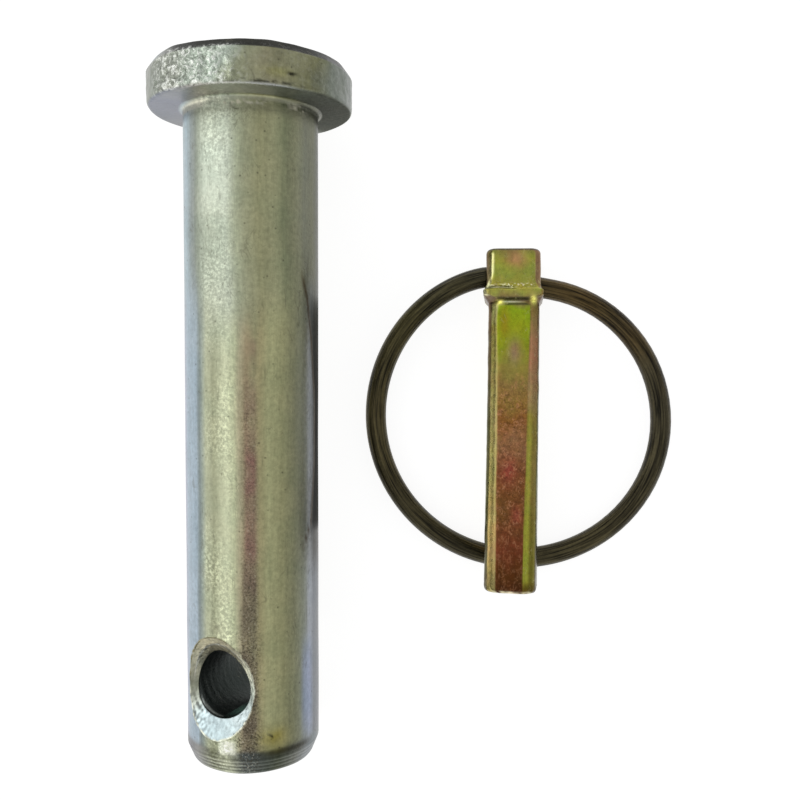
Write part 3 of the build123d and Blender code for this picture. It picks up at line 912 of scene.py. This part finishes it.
# Painted shade in the face's crease and under the collar, and a painted highlight on the ledge
# below the collar.
seam_line = along + 2.05 + 0.1 * np.sin(0.9 * x + 1.3)
crease_shade = hill(along, -4.3, 0.36, 4) + hill(along, -5.25, 0.2)
crease_shade += 1.3 * hill(seam_line, 0, 0.27, 4) * (1 - ease(x, -1.6, 0.6)) * (z > 0)
crease_shade = held(crease_shade) * held(on_face + on_back) * (1 - ease(np.abs(x), 3.2, 3.6) * (along < -4))
ledge_highlight = hill(along, -4.85, 0.16) * (1 - ease(x, -0.5, 2.5)) * (z > 0) * (np.abs(x) < 3.3)
# Painted shade on the head's sides and along its top edge.
head_side_shade = ease(along, -1.4, -0.6) * (1 - on_face) * (z > 0)
head_shade_tint = mix(linear("6b5a3c"), "7d6247", ease(x, -1, 1))
top_edge_shade = ease(along, head_from_eye - 0.75, head_from_eye - 0.35) * (z > 0)
# Painted highlight: a bright line along the head's left face edge.
bowed = 0.75 * ease(-along, -1.5, 1.9)
edge_highlight = hill(x - at_row(row_shift) + face_half + bowed, 0.02, 0.2)
edge_highlight = edge_highlight * span(along, -3.0, -2.0, 4.6, 5.3) * (z > 4)
# Painted shade on the sides below the collar.
under_collar_shade = span(-along, 3.45, 3.8, 4.9, 5.4) * (1 - on_face) * (z > 0)
glint = hill(x, -2.9, 0.75) * hill(along, -4.95, 0.42)
glint = glint + hill(x, 3.7, 0.55) * hill(along, -4.4, 0.75)
specks = (ripple(points, 0.55, 45) > 0.55) * hill(along, -1.5, 0.35) * span(x, -2.4, -1.4, 3.2, 4.2)
left_of_seam = hill(along, -1.55, 0.2) * (1 - ease(x, -2.2, -1.2))
specks = held(specks + 0.7 * (ripple(points, 0.9, 46) > -0.2) * left_of_seam)
on_end = ease(-np.maximum(np.abs(x), np.abs(z)), 1.2 - bar_flat, 1.6 - bar_flat)
tip_end = linear("7d6434") * (1 + 0.12 * ripple(points, 2.5, 48))[:, None]
head_end = linear("85803f") * (1 + 0.12 * ripple(points, 2.5, 49))[:, None]
# Painted highlight: a pale line along the tip's front edge.
tip_edge_highlight = ease(-along, tip_from_eye - 0.7, tip_from_eye - 0.2) * ease(z, 3.7, 4.5) * (1 - on_end)
tint = paint(
    mix(arc, flank, outer), (face_along, on_face), (back_face, on_back), ("d5d3bf", 0.8 * ledge_highlight),
    ("241d12", 0.93 * crease_shade), (head_shade_tint, 0.85 * head_side_shade), ("37332a", 0.9 * top_edge_shade),
    ("fbf7b4", 0.95 * edge_highlight), ("57412f", 0.9 * under_collar_shade),
    ("f0e878", held(1.1 * glint * (z > 3))), ("ede7bb", specks * (z > 4) * (np.abs(x) < 5)),
    (tip_end, on_end * ease(-along, tip_from_eye - 0.4, tip_from_eye)),
    (head_end, on_end * ease(along, head_from_eye - 0.4, head_from_eye)),
    ("d9d0ae", 0.75 * tip_edge_highlight * (0.7 + 0.4 * ripple(points, 1.5, 47))))
# The eye's inside painted dark as shade.
in_eye = np.arange(len(points)) >= skin_count
tint[in_eye] = linear("2b2a22")
rusty = ease(-along, 15, 25) * (1 - 0.55 * ease(-along, 47, 55)) * on_face
dull = held(crease_shade + in_eye)

yellow_zinc, tree, shader, place, painted = metal("yellow_zinc_plate")
grain = use(tree, plated_grain, Vector=place, Fleck_size=0.36, Drawn_out=0.25, Contrast=0.3)
cloud = node(tree, "TexNoise", {"Vector": place, "Scale": 0.5, "Detail": 4.0, "Roughness": 0.6})
tinged = blend_colour(0.35, "bcbcbc", cloud.outputs["Color"])
warm = blend_colour(1.0, painted, tinged, "MULTIPLY")
colour = blend_colour(0.5, painted, scaled(warm, 2.0))
colour = scaled(colour, grain["Value"])
worn = field(tree, "rusty")
rubbed = use(tree, scratches, Vector=place, Length=1.3, Width=0.06, Lengthwise=0.6)["Mask"]
colour = over(colour, (times(rubbed, times(worn, 0.6)), "c08a66"))
crackle = maths("SUBTRACT", noise(place, 1.5, 4.0, 0.72, 1.2), 0.5)
colour = scaled(colour, maths("ADD", 1.0, times(crackle, times(worn, 2.4))))
nicks = use(tree, scratches, Vector=place, Length=3.0, Width=0.014, Lengthwise=0.5)["Mask"]
colour = over(
    colour,
    (times(rescale(grain["Height"], 0.54, 0.62, 0.0, 0.6), worn), "b37a55"),
    (times(nicks, rescale(worn, 0.0, 0.25, 0.5, 0.0)), "c9c48a"))
metallic = rescale(field(tree, "dull"), 0.0, 1.0, 0.92, 0.6)
link(metallic, shader.inputs["Metallic"])
rough = maths("ADD", times(grain["Height"], 0.3),
              maths("MULTIPLY_ADD", worn, 0.12, 0.14))
finish(shader, colour, rough, (grain["Height"], 0.00005, 1.0), (rubbed, 0.00003, worn))
film_lift = 1.2               # the film is laid on a little brighter than it is written
make_piece("linch_pin_body", points, (quads, eye_quads, fans), linch_axes, linch_origin, "pins",
           "linch_pin", yellow_zinc, tint * film_lift, rusty=rusty, dull=dull)

# ---------------------------------------------------------------- spring ring
# One length of oil-hardened spring wire, bowed round until its two ends spring into the
# eye from either side. Darkened by the plating, with the marks of the drawing die along it.
ring_r, ring_top_drop, elbow_r = 30.0, 3.45, 6.3
stub_gap, proud_first, proud_last, head_width = 1.6, 0.05, 1.7, 10.9
ring_clearance = 0.2

off_square = math.acos(eye_line[0])
stub = head_width / 2 / eye_line[0] + wire_r * math.tan(off_square)
first_x, last_x = stub + proud_first, stub + proud_last
centre_x = math.sqrt(ring_top_drop * (2 * (ring_r - elbow_r) - ring_top_drop)) - first_x
centre_y = ring_top_drop - ring_r
last_r = ring_r - ring_top_drop / 2 - (centre_x - last_x) ** 2 / (2 * ring_top_drop)
last_start = math.atan2(-last_r - centre_y, last_x - centre_x)
edge_x = (ring_r - centre_y) * math.tan(eye_slant) + bar_flat
reach = last_r + math.sqrt(last_r ** 2 - (edge_x - last_x) ** 2)
flat_half = math.sqrt(bar_r ** 2 - bar_flat ** 2)
edge_drop = bar_flat * math.cos(eye_lean) + flat_half * math.sin(eye_lean)
fall = math.asin((edge_drop + ring_clearance + wire_r) / reach)


def arc_points(centre, radius, start, sweep, count):
    """Points of an arc, its turn in equal steps."""
    angle = start + sweep * np.linspace(0, 1, count + 1)[1:]
    return np.stack([centre[0] + radius * np.cos(angle), centre[1] + radius * np.sin(angle)], 1)


first_turn = math.atan2(-centre_y, -first_x - centre_x)
turn = np.linspace(first_turn, last_start + 2 * math.pi, 351)
settle = np.degrees(turn - first_turn)
round_r = ring_r - 0.66 * np.exp(-settle / 13)
round_r = round_r - 0.14 * hill(settle, 117, 38) * ease(-settle, -235, -190)
into_eye = np.linspace(0, 1, 12)[:-1, None]
hoop = np.stack([centre_x + round_r * np.cos(turn), centre_y + round_r * np.sin(turn)], 1)
wire = np.concatenate([
    [-stub_gap / 2, 0] * (1 - into_eye) + hoop[0] * np.hstack([into_eye, into_eye ** 3]), hoop,
    arc_points((last_x, -last_r), last_r, last_start, math.pi / 2 - last_start, 30),
    np.stack([np.linspace(last_x, stub_gap / 2, 11), np.zeros(11)], 1)[1:],
])
ahead, wire_run = unit(np.gradient(wire, axis=0)), lengths_along(wire)
ring_sides = 36
round_wire = 2 * math.pi * np.arange(ring_sides) / ring_sides
size = wire_r * (1 + 0.006 * np.sin(3 * round_wire + wire_run[:, None] / 9))
size[[0, -1]] *= 0.6
outward = size * np.cos(round_wire)
points = np.stack([wire[:, :1] + outward * ahead[:, 1:], wire[:, 1:] - outward * ahead[:, :1],
                   size * np.sin(round_wire)], -1)
number = np.arange(points.shape[0] * ring_sides).reshape(-1, ring_sides)
quads = bands(list(number))
ends = number[:1], number[-1:, ::-1]
points = points.reshape(-1, 3)
sag = np.array([math.cos(fall), math.sin(fall)])
ring_y = np.cross(np.cross(eye_line, eye_along), eye_line)
ring_up = np.cross(eye_line, ring_y)
ring_axes = np.array([eye_line, ring_y * sag[0] + ring_up * sag[1],
                      ring_up * sag[0] - ring_y * sag[1]]) @ linch_axes

round_about = np.tile(round_wire, len(wire))
along_wire = np.repeat(wire_run, ring_sides)
tint = ramp(along_wire + 3 * ripple(points, 12, 51), [
    (0, "3a372a"), (20, "37331f"), (48, "403a26"), (75, "332f20"), (105, "3d3826"), (140, "332f22"),
    (170, "42361f"), (200, "37331f")])
spring_wire, tree, shader, place, painted = metal("spring_wire")
drawn_y = times(field(tree, "along"), 0.03)
around = node(tree, "CombineXYZ", {"X": field(tree, "round_x"), "Y": drawn_y,
                                   "Z": field(tree, "round_z")}).outputs[0]
die_marks = noise(around, 3.2, 4.0, 0.6)
grain = use(tree, plated_grain, Vector=place, Fleck_size=0.35, Drawn_out=1.0, Contrast=0.25)
streaks = times(grain["Value"], rescale(die_marks, 0.36, 0.64, 0.15, 2.5))
shader.inputs["Metallic"].default_value = 0.85
finish(shader, scaled(painted, streaks), rescale(die_marks, 0.3, 0.7, 0.26, 0.42),
       (die_marks, 0.00012, 1.0), (grain["Height"], 0.00003, 1.0))
make_piece("spring_ring", points, (quads, *ends), ring_axes, linch_origin, "ring", "linch_ring",
           spring_wire, tint, along=along_wire, round_x=wire_r * np.cos(round_about),
           round_z=wire_r * np.sin(round_about))

# ---------------------------------------------------------------- table and light
# A wide white table under a pale sky that is dimmer overhead, a soft box low on the left
# and a weaker one on the right.
table = bpy.data.meshes.new("table")
table_half = 6
corners = [(x * table_half, y * table_half, 0) for x, y in ((-1, -1), (1, -1), (1, 1), (-1, 1))]
table.from_pydata(corners, [], [(0, 1, 2, 3)])
table_top = bpy.data.objects.new("table", table)
bpy.context.scene.collection.objects.link(table_top)
white = bpy.data.materials.new("white_table")
white.use_nodes = True
tree = white.node_tree
tree.nodes.remove(tree.nodes["Principled BSDF"])
# Seen by the camera or in the metal, it is mostly glow: at this strength and share, just white.
glow_strength, glow_share = 1.23, 0.72
path = node(tree, "LightPath").outputs
seen = maths("MAXIMUM", path["Is Glossy Ray"], path["Is Transmission Ray"])
seen = maths("MAXIMUM", path["Is Camera Ray"], seen)
diffuse = node(tree, "BsdfDiffuse", {"Color": (0.88, 0.88, 0.88, 1)}).outputs[0]
glow = node(tree, "Emission", {"Color": (1, 1, 1, 1), "Strength": glow_strength}).outputs[0]
surface = node(tree, "MixShader", {0: times(seen, glow_share), 1: diffuse, 2: glow}).outputs[0]
link(surface, tree.nodes["Material Output"].inputs["Surface"])
table.materials.append(white)

world = bpy.data.worlds.new("pale_studio")
world.use_nodes = True
bpy.context.scene.world = world
tree = world.node_tree
toward = node(tree, "SeparateXYZ", {0: node(tree, "TexCoord").outputs["Generated"]}).outputs
overhead = rescale(toward["Z"], 0.12, 0.8, 1.0, 0.62)
rightward = rescale(toward["X"], 0.1, 0.95, 1.0, 0.6)
to_camera = node(tree, "LightPath").outputs["Is Camera Ray"]
level = maths("MAXIMUM", times(overhead, rightward), to_camera)
link(level, tree.nodes["Background"].inputs["Strength"])
tree.nodes["Background"].inputs["Color"].default_value = (1, 1, 1, 1)


def soft_box(name, place, aim, width, height, level, colour):
    """A rectangular lamp facing a point, of a given radiance. The camera does not see it."""
    lamp = bpy.data.lights.new(name, "AREA")
    lamp.shape, lamp.size, lamp.size_y = "RECTANGLE", width, height
    lamp.energy, lamp.color = level * math.pi * width * height, colour
    box = bpy.data.objects.new(name, lamp)
    bpy.context.scene.collection.objects.link(box)
    box.location = place
    box.rotation_mode = "QUATERNION"
    box.rotation_quaternion = (Vector(aim) - Vector(place)).to_track_quat("-Z", "Y")
    box.visible_camera = False


soft_box("left_box", (-0.46, 0.02, 0.28), (-0.02, 0, 0), 0.6, 0.6, 0.55, (1.0, 1.0, 0.98))
soft_box("right_box", (0.5, 0.15, 0.35), (0, 0, 0), 0.4, 0.25, 0.3, (0.96, 0.98, 1.0))

camera = bpy.data.cameras.new("camera")
camera.lens, camera.sensor_width = 39.677, 36.0
viewer = bpy.data.objects.new("camera", camera)
bpy.context.scene.collection.objects.link(viewer)
viewer.location = (-0.0040738, 0.0024191, 0.1872501)
viewer.rotation_euler = (0.00361048, 0.00096973, 0.00352202)
camera.clip_start, camera.clip_end = 0.01, 20
bpy.context.scene.camera = viewer
bpy.context.scene.view_settings.view_transform = "Standard"
